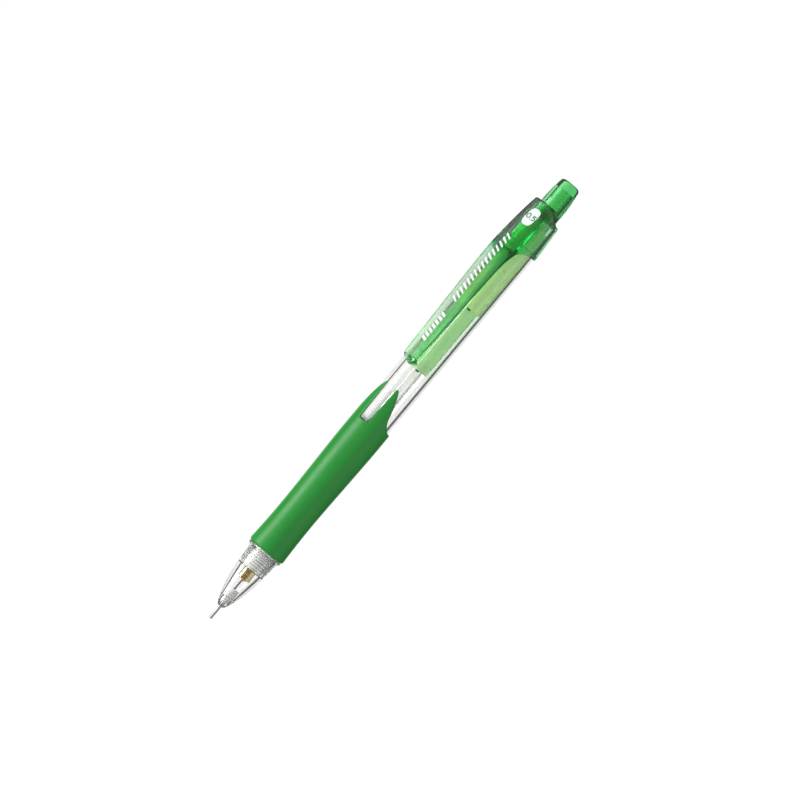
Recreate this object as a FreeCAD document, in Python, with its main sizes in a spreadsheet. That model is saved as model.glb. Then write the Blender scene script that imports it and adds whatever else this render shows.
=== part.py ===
"""Click pencil with a sliding tip sleeve, as a parametric FreeCAD document.

The frame lies along the pencil: +X runs from the sleeve's tip (the origin) to the
push knob, +Z points to the clip and the axis is y = z = 0. Millimetres throughout.
Sizes live in the spreadsheet "dims". An outline's corners are written as formulas
of its cells, and every formula becomes an expression of the sketch or feature.
"""
import FreeCAD
import Part
import Sketcher
import math
import os
import re

doc = FreeCAD.newDocument("click_pencil")
sheet = doc.addObject("Spreadsheet::Sheet", "dims")

# Stations (x) run along the axis from the tip. Radii (rad) are from the axis.
DIMENSIONS = {
    "play": 0.1,               # radial gap where one piece slides in another
    "seam": 0.05,              # gap between faces that meet across a joint
    "overrun": 1,              # how far a cut or a fused block runs past what it meets
    # lead and its front parts
    "lead_rad": 0.28,
    "lead_start": 0.25,
    "lead_length": 60,
    "sleeve_rad": 0.43,
    "sleeve_bore": 0.33,
    "sleeve_end": 6.5,
    "sleeve_bevel": 0.05,
    "sleeve_step": 3.95,
    "sleeve_shank_rad": 0.46,
    "boss_start": 5.5,
    "boss_rad": 1.12,
    "boss_end": 7.3,
    "cup_rad": 1.6,
    "cup_bore": 1.42,
    "cup_floor": 7.6,
    "cup_end": 10,
    "pad_rad": 0.8,
    "pad_bore": 0.3,
    # chuck, ring and seat
    "chuck_start": 12.8,
    "chuck_nose_rad": 0.6,
    "chuck_head_start": 13.05,
    "chuck_head_rad": 1.28,
    "chuck_head_end": 13.5,
    "chuck_stem_rad": 1.0,
    "chuck_stem_start": 16,
    "chuck_bore": 0.3,
    "chuck_slit_end": 21,
    "chuck_slit_width": 0.24,
    "chuck_tail_start": 33,
    "chuck_tail_end": 36,
    "ring_start": 13.4,
    "ring_end": 16.2,
    "ring_rad": 1.85,
    "ring_front_bore": 1.38,
    "ring_rear_bore": 1.08,
    "ring_bevel": 0.2,
    "seat_start": 16.25,
    "seat_rad": 2.55,
    "seat_front_bore": 1.3,
    "seat_shoulder": 17.6,
    "seat_flange_start": 24.05,
    "seat_flange_end": 25.6,
    "seat_flange_rad": 3.8,
    "seat_end": 37,
    # feed tube, tank, bush and spring
    "tube_start": 33,
    "tube_end": 86.2,
    "tube_rad": 1.9,
    "tube_bore": 1.3,
    "tank_start": 83.7,
    "tank_floor": 85.2,
    "tank_end": 137,
    "tank_rad": 3.05,
    "tank_bore": 2.45,
    "tank_bevel": 0.3,
    "bush_start": 104.4,
    "bush_end": 131.5,
    "bush_rad": 3.8,
    "bush_bevel": 0.25,
    "spring_wire": 0.18,
    "spring_rad": 1.62,
    "spring_turns": 10,
    # tip cone
    "cone_start": 4,
    "cone_tip_rad": 0.85,
    "cone_bore": 0.5,
    "cone_boss_stop": 5.4,
    "cone_cup_stop": 7.22,
    "cone_taper_start_rad": 1.7,
    "cone_taper_end": 16.2,
    "cone_taper_end_rad": 2.95,
    "cone_socket_start": 16.5,
    "cone_socket_rad": 3.47,
    "cone_chin": 5,
    "cone_chin_rad": 1.5,
    "cone_shoulder": 8,
    "cone_shoulder_rad": 2.5,
    "cone_back": 16.5,
    "cone_back_rad": 4.0,
    "cone_waist": 20.4,
    "cone_waist_rad": 4.3,
    "cone_front_bulge": 40,
    "cone_back_bulge": 30,
    "cone_flare_bulge": 2.2,
    "cone_lip": 22.0,
    "cone_end": 22.4,
    "cone_end_rad": 5.15,
    # barrel
    "nose_start": 16.7,
    "nose_bore": 2.6,
    "thread_rad": 3.15,
    "thread_start": 17.2,
    "thread_pitch": 0.75,
    "thread_depth": 0.27,
    "thread_length": 4.5,
    "barrel_step": 24,
    "barrel_bore": 3.85,
    "barrel_end": 133.9,
    "barrel_rad": 4.9,
    "spigot_start": 125.4,
    "spigot_rad": 4.23,
    "seat_grip_rad": 4.3,
    "rib_start": 65.1,
    "rib_end": 124,
    "rib_front_half": 1.35,
    "rib_half": 1.7,
    "rib_full": 77,
    "rib_rad": 5.45,
    "rib_root": 3.9,
    # grip
    "grip_start": 22.45,
    "grip_face_rad": 4.9,
    "grip_brow": 23.2,
    "grip_brow_rad": 5.45,
    "grip_brow_bulge": 0.85,
    "grip_waist": 35,
    "grip_waist_rad": 5.1,
    "grip_mid": 49,
    "grip_mid_rad": 5.31,
    "grip_crown": 62,
    "grip_crown_rad": 5.54,
    "grip_front_bulge": 199,
    "grip_mid_bulge": 467,
    "grip_rear_bulge": 367,
    "grip_end": 66,
    "prong_end": 76.6,
    "prong_rad": 5.46,
    "prong_low": -1.1,
    "prong_knee": 70,
    "prong_knee_height": 3.15,
    "prong_tip_height": 4.95,
    "prong_bulge": 4.26,
    "slot_start": 65,
    "slot_front_half": 1.42,
    "slot_half": 1.8,
    # collar and clip
    "collar_start": 124.5,
    "collar_lip": 125.4,
    "collar_lip_rad": 5.5,
    "collar_front_rad": 5.35,
    "collar_back": 134.2,
    "collar_back_rad": 5.05,
    "collar_bulge": 60,
    "collar_end": 138.3,
    "collar_end_rad": 4.5,
    "collar_lip_bore": 4.93,
    "collar_socket_start": 125.45,
    "collar_socket_rad": 4.26,
    "collar_mouth_start": 134,
    "collar_mouth_rad": 3.6,
    "rim_low_end": 135.2,
    "rim_high_end": 138.2,
    "clip_start": 84.1,
    "clip_top": 8.5,
    "clip_under": 7.3,
    "clip_pad_end": 86,
    "clip_pad_height": 5.6,
    "clip_root": 119,
    "clip_root_top": 8.1,
    "clip_web_rad": 5.5,
    "clip_back": 130,
    "clip_back_top": 6.9,
    "clip_tail": 138,
    "clip_tail_top": 4.5,
    "clip_tail_bulge": 18,
    "clip_tip_half": 2.35,
    "clip_root_half": 3.45,
    "clip_nose_length": 1.4,
    "clip_nose_bulge": 2.67,
    # knob and eraser
    "knob_start": 134.2,
    "knob_rad": 3.5,
    "knob_taper_start": 140,
    "knob_taper_rad": 2.95,
    "knob_round_start": 145.3,
    "knob_round": 1,
    "knob_end": 146.3,
    "knob_bulge": 30,
    "knob_socket_end": 137.3,
    "knob_cavity_rad": 2.15,
    "knob_cavity_end": 143.7,
    "holder_start": 130.8,
    "holder_floor": 132.2,
    "holder_end": 135,
    "holder_rad": 2.4,
    "eraser_rad": 2.0,
    "eraser_end": 138.2,
}

for row, (alias, number) in enumerate(DIMENSIONS.items(), start=1):
    sheet.set("A%d" % row, alias)
    sheet.set("B%d" % row, str(number))
    sheet.setAlias("B%d" % row, alias)
doc.recompute()


def bound(formula):
    """The formula as an expression: each word in it is a cell of the sheet."""
    return re.sub(r"[a-z_]+", lambda word: "dims." + word.group(0), formula)


def size(formula):
    """The formula's present value."""
    return float(sheet.evalExpression(bound(formula)))


def origin_plane(body, role):
    return next(f for f in body.Origin.OriginFeatures if f.Role == role)


def arc_between(first, last, radius):
    """An arc of this radius from first to last: a positive radius bulges left."""
    chord = last - first
    across = FreeCAD.Vector(-chord.y, chord.x, 0).normalize()
    sag = math.sqrt(radius * radius - chord.Length * chord.Length / 4)
    side = 1 if radius > 0 else -1
    centre = (first + last) * 0.5 - across * side * sag
    start, end = (last, first) if radius > 0 else (first, last)
    circle = Part.Circle(centre, FreeCAD.Vector(0, 0, 1), abs(radius))
    return Part.ArcOfCircle(circle, circle.parameter(start), circle.parameter(end))


def add_sketch(body, name, role, corners, bulges=None, offset=None):
    """A closed outline. Each corner is a pair of formulas. Edge i, from corner i
    to the next, is straight unless bulges gives the formula of its radius."""
    bulges = bulges or {}
    sketch = body.newObject("Sketcher::SketchObject", name)
    sketch.AttachmentSupport = [(origin_plane(body, role), "")]
    sketch.MapMode = "FlatFace"
    points = [FreeCAD.Vector(size(a), size(b), 0) for a, b in corners]
    ends = []
    for i, point in enumerate(points):
        following = points[(i + 1) % len(points)]
        if i in bulges:
            radius = size(bulges[i])
            sketch.addGeometry(arc_between(point, following, radius), False)
            ends.append((2, 1) if radius > 0 else (1, 2))
        else:
            sketch.addGeometry(Part.LineSegment(point, following), False)
            ends.append((1, 2))
    for i in range(len(points)):
        after = (i + 1) % len(points)
        sketch.addConstraint(
            Sketcher.Constraint("Coincident", i, ends[i][1], after, ends[after][0]))
    for i, corner in enumerate(corners):
        for kind, axis, formula in (("DistanceX", -2, corner[0]), ("DistanceY", -1, corner[1])):
            if formula == "0":
                sketch.addConstraint(
                    Sketcher.Constraint("PointOnObject", i, ends[i][0], axis))
                continue
            number = sketch.addConstraint(
                Sketcher.Constraint(kind, -1, 1, i, ends[i][0], size(formula)))
            sketch.setExpression("Constraints[%d]" % number, bound(formula))
    for i, formula in bulges.items():
        number = sketch.addConstraint(
            Sketcher.Constraint("Radius", i, abs(size(formula))))
        plain = formula.lstrip("-")
        sketch.setExpression("Constraints[%d]" % number, bound(plain))
    if offset:
        sketch.setExpression("AttachmentOffset.Base.z", bound(offset))
    doc.recompute()
    return sketch


def new_body(label):
    body = doc.addObject("PartDesign::Body", label)
    body.Label = label
    return body


def revolve(body, name, corners, bulges=None):
    """Turn an outline of (x, radius) corners about the pencil's axis."""
    sketch = add_sketch(body, name + "_outline", "XZ_Plane", corners, bulges)
    turned = body.newObject("PartDesign::Revolution", name)
    turned.Profile = sketch
    turned.ReferenceAxis = (sketch, ["H_Axis"])
    turned.Angle = 360
    doc.recompute()
    return turned


def lathe(label, corners, bulges=None):
    """A body that is one turned outline."""
    body = new_body(label)
    revolve(body, label + "_turning", corners, bulges)
    return body


def pad(body, name, role, corners, length, bulges=None, offset=None, both_sides=False):
    """Pad an outline: from its plane, or half to each side of it."""
    sketch = add_sketch(body, name + "_outline", role, corners, bulges, offset)
    feature = body.newObject("PartDesign::Pad", name)
    feature.Profile = sketch
    feature.SideType = "Symmetric" if both_sides else "One side"
    feature.setExpression("Length", bound(length))
    doc.recompute()
    return feature


def pocket(body, name, role, corners, bulges=None, upward=None):
    """Cut an outline out of the body: through it, or through its upper half."""
    before = body.Shape.Volume
    sketch = add_sketch(body, name + "_outline", role, corners, bulges)
    feature = body.newObject("PartDesign::Pocket", name)
    feature.Profile = sketch
    if upward:
        feature.Reversed = True
        feature.setExpression("Length", bound(upward))
    else:
        feature.SideType = "Symmetric"
        feature.Type = "ThroughAll"
    doc.recompute()
    if body.Shape.Volume > before - 1e-3:
        raise RuntimeError("%s cuts nothing" % name)
    return feature


def groove(body, name, corners):
    """Turn an outline about the axis and cut it out of the body."""
    before = body.Shape.Volume
    sketch = add_sketch(body, name + "_outline", "XZ_Plane", corners)
    feature = body.newObject("PartDesign::Groove", name)
    feature.Profile = sketch
    feature.ReferenceAxis = (sketch, ["H_Axis"])
    feature.Angle = 360
    doc.recompute()
    if body.Shape.Volume > before - 1e-3:
        raise RuntimeError("%s cuts nothing" % name)
    return feature


def tube(front, back, outer, bore):
    """The outline of a plain tube."""
    return [(front, bore), (front, outer), (back, outer), (back, bore)]


def lead_sleeve():
    return lathe("lead_sleeve", [
        ("0", "sleeve_bore"),
        ("0", "sleeve_rad - sleeve_bevel"),
        ("sleeve_bevel * 2", "sleeve_rad"),
        ("sleeve_step", "sleeve_rad"),
        ("sleeve_step", "sleeve_shank_rad"),
        ("sleeve_end", "sleeve_shank_rad"),
        ("sleeve_end", "sleeve_bore"),
    ])


def sleeve_slider():
    """Boss round the sleeve, then a cup that the chuck's nose can enter."""
    return lathe("sleeve_slider", [
        ("boss_start", "sleeve_shank_rad"),
        ("boss_start", "boss_rad"),
        ("boss_end", "boss_rad"),
        ("boss_end", "cup_rad"),
        ("cup_end", "cup_rad"),
        ("cup_end", "cup_bore"),
        ("cup_floor", "cup_bore"),
        ("cup_floor", "pad_rad"),
        ("sleeve_end", "pad_rad"),
        ("sleeve_end", "sleeve_shank_rad"),
    ])


def lead_retainer():
    return lathe("lead_retainer", tube("sleeve_end", "cup_floor", "pad_rad", "pad_bore"))


def writing_lead():
    lead = doc.addObject("Part::Cylinder", "writing_lead")
    lead.Label = "writing_lead"
    lead.setExpression("Radius", bound("lead_rad"))
    lead.setExpression("Height", bound("lead_length"))
    lead.Placement = FreeCAD.Placement(
        FreeCAD.Vector(size("lead_start"), 0, 0),
        FreeCAD.Rotation(FreeCAD.Vector(0, 1, 0), 90))
    lead.setExpression("Placement.Base.x", bound("lead_start"))
    return lead


def tip_cone():
    return lathe("tip_cone", [
        ("cone_start", "cone_bore"),
        ("cone_start", "cone_tip_rad"),
        ("cone_chin", "cone_chin_rad"),
        ("cone_shoulder", "cone_shoulder_rad"),
        ("cone_back", "cone_back_rad"),
        ("cone_waist", "cone_waist_rad"),
        ("cone_lip", "cone_end_rad"),
        ("cone_end", "cone_end_rad"),
        ("cone_end", "cone_socket_rad"),
        ("cone_socket_start", "cone_socket_rad"),
        ("cone_taper_end", "cone_taper_end_rad"),
        ("cone_cup_stop", "cone_taper_start_rad"),
        ("cone_cup_stop", "boss_rad + play"),
        ("cone_boss_stop", "boss_rad + play"),
        ("cone_boss_stop", "cone_bore"),
    ], {3: "cone_front_bulge", 4: "cone_back_bulge", 5: "-cone_flare_bulge"})


def chuck():
    """Three-jaw collet: nose, conical head, slit stem and a tail in the feed tube."""
    body = lathe("chuck", [
        ("chuck_start", "chuck_bore"),
        ("chuck_start", "chuck_nose_rad"),
        ("chuck_head_start", "chuck_nose_rad"),
        ("chuck_head_end", "chuck_head_rad"),
        ("chuck_stem_start", "chuck_stem_rad"),
        ("chuck_tail_start", "chuck_stem_rad"),
        ("chuck_tail_start", "tube_bore"),
        ("chuck_tail_end", "tube_bore"),
        ("chuck_tail_end", "chuck_bore"),
    ])
    slit = pocket(body, "chuck_slit", "XY_Plane", [
        ("chuck_start - seam", "-chuck_slit_width / 2"),
        ("chuck_slit_end", "-chuck_slit_width / 2"),
        ("chuck_slit_end", "chuck_slit_width / 2"),
        ("chuck_start - seam", "chuck_slit_width / 2"),
    ], upward="chuck_head_rad * 2")
    ring_of_slits = body.newObject("PartDesign::PolarPattern", "chuck_slits")
    ring_of_slits.Originals = [slit]
    ring_of_slits.Axis = (origin_plane(body, "X_Axis"), [""])
    ring_of_slits.Angle = 360
    ring_of_slits.Occurrences = 3
    body.Tip = ring_of_slits
    doc.recompute()
    return body


def clutch_ring():
    return lathe("clutch_ring", [
        ("ring_start", "ring_front_bore"),
        ("ring_start", "ring_rad - ring_bevel"),
        ("ring_start + ring_bevel", "ring_rad"),
        ("ring_end - ring_bevel", "ring_rad"),
        ("ring_end", "ring_rad - ring_bevel"),
        ("ring_end", "ring_rear_bore"),
    ])


def clutch_seat():
    """Stops the ring, holds the spring and guides the feed tube."""
    return lathe("clutch_seat", [
        ("seat_start", "seat_front_bore"),
        ("seat_start", "seat_rad"),
        ("seat_flange_start", "seat_rad"),
        ("seat_flange_start", "seat_flange_rad"),
        ("seat_flange_end", "seat_flange_rad"),
        ("seat_flange_end", "seat_rad"),
        ("seat_end", "seat_rad"),
        ("seat_end", "tube_rad + play"),
        ("seat_shoulder", "tube_rad + play"),
        ("seat_shoulder", "seat_front_bore"),
    ])


def feed_spring():
    """A round wire swept along a helix between the seat's shoulder and the tube."""
    helix = doc.addObject("Part::Helix", "spring_helix")
    room = "(tube_start - seat_shoulder - 2 * seam - 2 * spring_wire)"
    helix.setExpression("Radius", bound("spring_rad"))
    helix.setExpression("Height", bound(room))
    helix.setExpression("Pitch", bound(room + " / spring_turns"))
    wire = doc.addObject("Part::Circle", "spring_wire_outline")
    wire.setExpression("Radius", bound("spring_wire"))
    wire.Placement = FreeCAD.Placement(
        FreeCAD.Vector(size("spring_rad"), 0, 0),
        FreeCAD.Rotation(FreeCAD.Vector(1, 0, 0), 90))
    wire.setExpression("Placement.Base.x", bound("spring_rad"))
    spring = doc.addObject("Part::Sweep", "feed_spring")
    spring.Label = "feed_spring"
    spring.Sections = [wire]
    spring.Spine = (helix, ["Edge1"])
    spring.Solid = True
    spring.Frenet = True
    spring.Placement = FreeCAD.Placement(
        FreeCAD.Vector(size("seat_shoulder + seam + spring_wire"), 0, 0),
        FreeCAD.Rotation(FreeCAD.Vector(0, 1, 0), 90))
    return spring


def lead_tube():
    return lathe("lead_tube", tube("tube_start", "tube_end", "tube_rad", "tube_bore"))


def lead_tank():
    """Wide tube for spare leads, with a floor that grips the feed tube."""
    return lathe("lead_tank", [
        ("tank_start", "tube_rad"),
        ("tank_start", "tank_rad - tank_bevel"),
        ("tank_start + tank_bevel", "tank_rad"),
        ("tank_end", "tank_rad"),
        ("tank_end", "tank_bore"),
        ("tank_floor + tank_bevel", "tank_bore"),
        ("tube_end", "tube_rad"),
    ])


def guide_bush():
    return lathe("guide_bush", [
        ("bush_start", "tank_rad + play"),
        ("bush_start", "bush_rad - bush_bevel"),
        ("bush_start + bush_bevel", "bush_rad"),
        ("bush_end", "bush_rad"),
        ("bush_end", "tank_rad + play"),
    ])


def barrel():
    """Clear tube: threaded nose, recessed grip seat, wide rear and a raised rib."""
    body = lathe("barrel", [
        ("nose_start", "nose_bore"),
        ("nose_start", "thread_rad"),
        ("cone_end + seam", "thread_rad"),
        ("cone_end + seam", "seat_grip_rad"),
        ("grip_end + seam", "seat_grip_rad"),
        ("grip_end + seam", "barrel_rad"),
        ("spigot_start", "barrel_rad"),
        ("spigot_start", "spigot_rad"),
        ("barrel_end", "spigot_rad"),
        ("barrel_end", "barrel_bore"),
        ("barrel_step", "barrel_bore"),
        ("barrel_step", "nose_bore"),
    ])
    pad(body, "barrel_rib", "XY_Plane", [
        ("rib_start", "-rib_front_half"),
        ("rib_full", "-rib_half"),
        ("rib_end", "-rib_half"),
        ("rib_end", "rib_half"),
        ("rib_full", "rib_half"),
        ("rib_start", "rib_front_half"),
    ], "rib_rad - rib_root + overrun", offset="rib_root")
    groove(body, "rib_crown", tube(
        "rib_start - overrun", "rib_end + overrun", "rib_rad + 2 * overrun", "rib_rad"))
    ridge = revolve(body, "thread_ridge", [
        ("thread_start", "thread_rad - seam"),
        ("thread_start + thread_pitch / 2", "thread_rad + thread_depth"),
        ("thread_start + thread_pitch", "thread_rad - seam"),
    ])
    ridges = body.newObject("PartDesign::LinearPattern", "thread_ridges")
    ridges.Originals = [ridge]
    ridges.Direction = (origin_plane(body, "X_Axis"), [""])
    ridges.setExpression("Length", bound("thread_length"))
    ridges.Occurrences = round(size("thread_length / thread_pitch")) + 1
    body.Tip = ridges
    doc.recompute()
    return body


def grip():
    """Rubber sleeve: waisted, with two prongs beside a slot for the barrel's rib."""
    body = lathe("grip", [
        ("grip_start", "seat_grip_rad"),
        ("grip_start", "grip_face_rad"),
        ("grip_brow", "grip_brow_rad"),
        ("grip_waist", "grip_waist_rad"),
        ("grip_mid", "grip_mid_rad"),
        ("grip_crown", "grip_crown_rad"),
        ("prong_end", "prong_rad"),
        ("prong_end", "barrel_rad + seam"),
        ("grip_end", "barrel_rad + seam"),
        ("grip_end", "seat_grip_rad"),
    ], {1: "grip_brow_bulge", 2: "-grip_front_bulge", 3: "-grip_mid_bulge", 4: "grip_rear_bulge"})
    pocket(body, "prong_sides", "XZ_Plane", [
        ("grip_end", "-grip_crown_rad - overrun"),
        ("grip_end", "prong_low"),
        ("prong_knee", "prong_knee_height"),
        ("prong_end", "prong_tip_height"),
        ("prong_end + overrun", "prong_tip_height"),
        ("prong_end + overrun", "-grip_crown_rad - overrun"),
    ], {1: "prong_bulge"})
    pocket(body, "rib_slot", "XY_Plane", [
        ("slot_start", "-slot_front_half"),
        ("prong_end + overrun", "-slot_half"),
        ("prong_end + overrun", "slot_half"),
        ("slot_start", "slot_front_half"),
    ], upward="grip_crown_rad + overrun")
    return body


def cap_clip():
    """Collar and clip in one moulding."""
    body = lathe("cap_clip", [
        ("collar_start", "0"),
        ("collar_start", "collar_front_rad"),
        ("collar_lip", "collar_lip_rad"),
        ("collar_back", "collar_back_rad"),
        ("collar_end", "collar_end_rad"),
        ("collar_end", "0"),
    ], {2: "collar_bulge"})
    pad(body, "clip_arm", "XZ_Plane", [
        ("clip_start", "clip_pad_height"),
        ("clip_start", "clip_top"),
        ("clip_root", "clip_root_top"),
        ("clip_back", "clip_back_top"),
        ("clip_tail", "clip_tail_top"),
        ("clip_tail", "clip_web_rad - 2 * overrun"),
        ("collar_start", "clip_web_rad - 2 * overrun"),
        ("collar_start", "clip_web_rad"),
        ("clip_root", "clip_under"),
        ("clip_pad_end", "clip_under"),
        ("clip_pad_end", "clip_pad_height"),
    ], "2 * clip_root_half", {3: "clip_tail_bulge"}, both_sides=True)
    for name, side in (("left", ""), ("right", "-")):
        pocket(body, "clip_%s_side" % name, "XY_Plane", [
            ("clip_start - overrun", "0"),
            ("clip_start", "0"),
            ("clip_start + clip_nose_length", side + "clip_tip_half"),
            ("clip_root", side + "clip_root_half"),
            ("clip_root", side + "(clip_root_half + overrun)"),
            ("clip_start - overrun", side + "(clip_root_half + overrun)"),
        ], {1: side + "clip_nose_bulge"}, upward="clip_top + overrun")
    groove(body, "socket", [
        ("collar_start - overrun", "0"),
        ("collar_start - overrun", "collar_lip_bore"),
        ("collar_socket_start", "collar_lip_bore"),
        ("collar_socket_start", "collar_socket_rad"),
        ("collar_mouth_start", "collar_socket_rad"),
        ("collar_mouth_start", "collar_mouth_rad"),
        ("collar_end + overrun", "collar_mouth_rad"),
        ("collar_end + overrun", "0"),
    ])
    pocket(body, "slanted_rim", "XZ_Plane", [
        ("rim_low_end", "-collar_lip_rad - overrun"),
        ("rim_low_end", "-collar_mouth_rad"),
        ("rim_high_end", "collar_mouth_rad / 2"),
        ("rim_high_end", "collar_lip_rad + overrun"),
        ("collar_end + overrun", "collar_lip_rad + overrun"),
        ("collar_end + overrun", "-collar_lip_rad - overrun"),
    ])
    return body


def push_knob():
    """Hollow cap that pushes over the tank's rear end."""
    return lathe("push_knob", [
        ("knob_start", "tank_rad"),
        ("knob_start", "knob_rad"),
        ("knob_taper_start", "knob_rad"),
        ("knob_round_start", "knob_taper_rad"),
        ("knob_end", "knob_taper_rad - knob_round"),
        ("knob_end", "0"),
        ("knob_cavity_end", "0"),
        ("knob_cavity_end", "knob_cavity_rad"),
        ("knob_socket_end", "knob_cavity_rad"),
        ("knob_socket_end", "tank_rad"),
    ], {2: "knob_bulge", 3: "knob_round"})


def eraser_holder():
    """Cup that plugs the tank and holds the eraser."""
    return lathe("eraser_holder", [
        ("holder_start", "0"),
        ("holder_start", "holder_rad"),
        ("holder_end", "holder_rad"),
        ("holder_end", "eraser_rad"),
        ("holder_floor", "eraser_rad"),
        ("holder_floor", "0"),
    ])


def eraser():
    return lathe("eraser", [
        ("holder_floor", "0"),
        ("holder_floor", "eraser_rad"),
        ("eraser_end", "eraser_rad"),
        ("eraser_end", "0"),
    ])


PIECES = [
    lead_sleeve, sleeve_slider, lead_retainer, writing_lead, tip_cone, chuck, clutch_ring,
    clutch_seat, feed_spring, lead_tube, lead_tank, guide_bush, barrel, grip, cap_clip,
    push_knob, eraser_holder, eraser,
]


def main():
    pieces = [build() for build in PIECES]
    doc.recompute()
    for item in doc.Objects:
        if "Invalid" in item.State or "Error" in item.State:
            raise RuntimeError("%s has state %s" % (item.Name, item.State))
    for piece in pieces:
        if piece.Shape.isNull() or not piece.Shape.isValid() or not piece.Shape.Solids:
            raise RuntimeError("%s has no valid solid" % piece.Label)
    os.makedirs("parts", exist_ok=True)
    for piece in pieces:
        piece.Shape.exportStep("parts/%s.step" % piece.Label)
        box = piece.Shape.optimalBoundingBox(False)
        print("%-14s %d solid(s) %9.2f mm3  x %.2f..%.2f  z %.2f..%.2f" % (
            piece.Label, len(piece.Shape.Solids), piece.Shape.Volume,
            box.XMin, box.XMax, box.ZMin, box.ZMax))


main()
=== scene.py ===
"""Looks for the click pencil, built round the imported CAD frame.

The frame lies along the pencil: +X from the tip to the push knob, +Z to the clip.
Shapes are worked out in millimetres and stored in metres.
"""

import math

import bmesh
import bpy
import numpy as np
from mathutils import Matrix, Vector


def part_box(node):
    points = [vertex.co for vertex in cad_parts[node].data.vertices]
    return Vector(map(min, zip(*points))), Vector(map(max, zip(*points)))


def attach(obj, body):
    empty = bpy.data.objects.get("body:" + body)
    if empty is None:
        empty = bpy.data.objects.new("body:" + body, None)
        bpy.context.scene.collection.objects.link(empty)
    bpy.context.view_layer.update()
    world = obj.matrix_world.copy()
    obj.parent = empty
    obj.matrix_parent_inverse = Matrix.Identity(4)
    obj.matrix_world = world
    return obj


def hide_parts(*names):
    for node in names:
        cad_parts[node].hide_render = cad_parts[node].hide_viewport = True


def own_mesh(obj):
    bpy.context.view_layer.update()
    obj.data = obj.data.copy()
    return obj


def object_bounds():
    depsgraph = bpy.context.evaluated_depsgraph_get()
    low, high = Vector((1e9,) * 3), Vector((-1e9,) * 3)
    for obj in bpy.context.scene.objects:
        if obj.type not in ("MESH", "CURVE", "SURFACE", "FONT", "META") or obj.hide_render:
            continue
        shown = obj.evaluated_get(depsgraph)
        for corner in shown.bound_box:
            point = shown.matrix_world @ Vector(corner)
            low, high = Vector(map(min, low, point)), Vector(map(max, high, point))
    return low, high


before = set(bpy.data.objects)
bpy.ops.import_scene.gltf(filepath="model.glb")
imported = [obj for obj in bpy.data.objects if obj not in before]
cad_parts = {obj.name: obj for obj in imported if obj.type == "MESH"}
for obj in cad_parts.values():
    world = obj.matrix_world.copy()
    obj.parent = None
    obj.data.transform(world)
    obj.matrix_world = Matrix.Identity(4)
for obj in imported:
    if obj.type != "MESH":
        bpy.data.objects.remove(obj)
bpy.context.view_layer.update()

MM = 0.001
TURN = 96                      # points round a turned piece
BARREL_BODY = "barrel_body"
# how far the camera leans from straight above, and the way that is up in its picture
CAMERA_TILT = math.radians(27)
UP_IN_PICTURE = Vector((0, math.cos(CAMERA_TILT), math.sin(CAMERA_TILT)))
# the bright card's middle as the camera sees it: a little to the clip's side of straight ahead
CARD_MIDDLE = Vector((-0.768, 0.640, 0)) * 0.12 + Vector((0, 0, 1))
# how bright the surroundings are against the cosine of the angle from the card's middle
ROOM = ((0.0, 0.62), (0.35, 0.11), (0.75, 0.06), (0.83, 0.97))


def span(node):
    """First x, last x and outer radius of a CAD node, in millimetres."""
    low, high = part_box(node)
    return low[0] / MM, high[0] / MM, max(high[1], -low[1]) / MM


# places along the cap, in millimetres: its ends, the collar's front and the arm's root
CAP_START, CAP_END, _ = span("cap_clip")
CAP_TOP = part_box("cap_clip")[1].z / MM
COLLAR_FRONT = CAP_END - 13.4
ARM_ROOT = COLLAR_FRONT - 10.8
# radii that neighbours share: under the grip, on the rib, and the thread's rise per turn
SEAT_RADIUS, RIB_RADIUS = 4.3, 5.45
THREAD_PITCH = 0.75


# ---- mesh makers

def in_scene(name, data):
    """A new object in the scene."""
    thing = bpy.data.objects.new(name, data)
    bpy.context.scene.collection.objects.link(thing)
    return thing


def new_piece(name, points, faces, body):
    """A smooth-shaded piece from points in millimetres, riding on a CAD body."""
    mesh = bpy.data.meshes.new(name)
    mesh.from_pydata([tuple(p) for p in np.asarray(points) * MM], [], faces)
    bm = bmesh.new()
    bm.from_mesh(mesh)
    bmesh.ops.remove_doubles(bm, verts=bm.verts, dist=1e-7)
    bmesh.ops.dissolve_degenerate(bm, edges=bm.edges, dist=1e-7)
    bmesh.ops.recalc_face_normals(bm, faces=bm.faces)
    bm.to_mesh(mesh)
    bm.free()
    mesh.shade_smooth()
    mesh.set_sharp_from_angle(angle=math.radians(40))
    piece = in_scene(name, mesh)
    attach(piece, body)
    return piece


def stand_in(piece, node):
    """The piece is shown in the CAD node's place, and the node is hidden."""
    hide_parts(node)
    return piece


def arc(start, end, bulge, steps=12):
    """Points after start up to end, on an arc whose middle stands bulge off the chord."""
    start, end = np.array(start, float), np.array(end, float)
    chord = end - start
    length = np.hypot(*chord)
    across = np.array((-chord[1], chord[0])) / length
    radius = (length * length / 4 + bulge * bulge) / (2 * abs(bulge))
    side = math.copysign(1.0, bulge)
    centre = (start + end) / 2 + across * (bulge - side * radius)
    first = math.atan2(*(start - centre)[::-1])
    last = math.atan2(*(end - centre)[::-1])
    sweep = (last - first + math.pi) % (2 * math.pi) - math.pi
    angles = first + sweep * np.arange(1, steps + 1) / steps
    return [tuple(centre + radius * np.array((math.cos(a), math.sin(a)))) for a in angles]


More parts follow.
